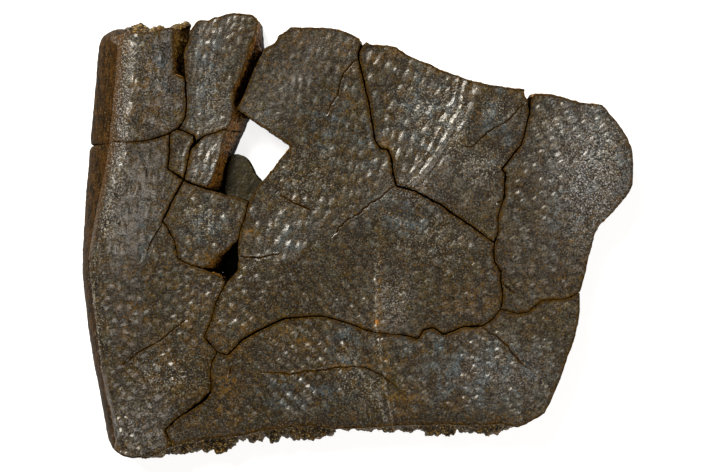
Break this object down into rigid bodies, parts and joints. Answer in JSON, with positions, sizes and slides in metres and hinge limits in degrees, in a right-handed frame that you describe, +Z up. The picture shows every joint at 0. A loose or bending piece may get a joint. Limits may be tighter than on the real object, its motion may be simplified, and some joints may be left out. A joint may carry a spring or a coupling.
{
  "type": "fossil turtle shell section",
  "caption": "Section of a fossil turtle shell with pebbled ornament, a rolled rim and a knobbly sutural edge, glued together from broken fragments, lying on its inner face.",
  "frame": {"origin": "centre of the outline as seen from above, at the level of the surface it lies on", "axes": "+Z up out of the pebbled outer surface, +X from the rolled rim towards the broken right edge, -Y towards the knobbly sutural edge"},
  "size_m": [0.122, 0.0984, 0.016],
  "materials": {
    "plate_bone": "semi-gloss, pebbled dark fossil bone",
    "rim_bone": "semi-gloss, dark brown fossil bone"
  },
  "bodies": {
    "root": {"rim_upper": "rim_bone", "rim_lower": "rim_bone", "upper_strip": "plate_bone", "sliver": "plate_bone", "inner_chip": "plate_bone", "middle_left": "plate_bone", "main_plate": "plate_bone", "upper_wedge": "plate_bone", "right_plate": "plate_bone", "lower_plate": "plate_bone"}
  },
  "joints": []
}
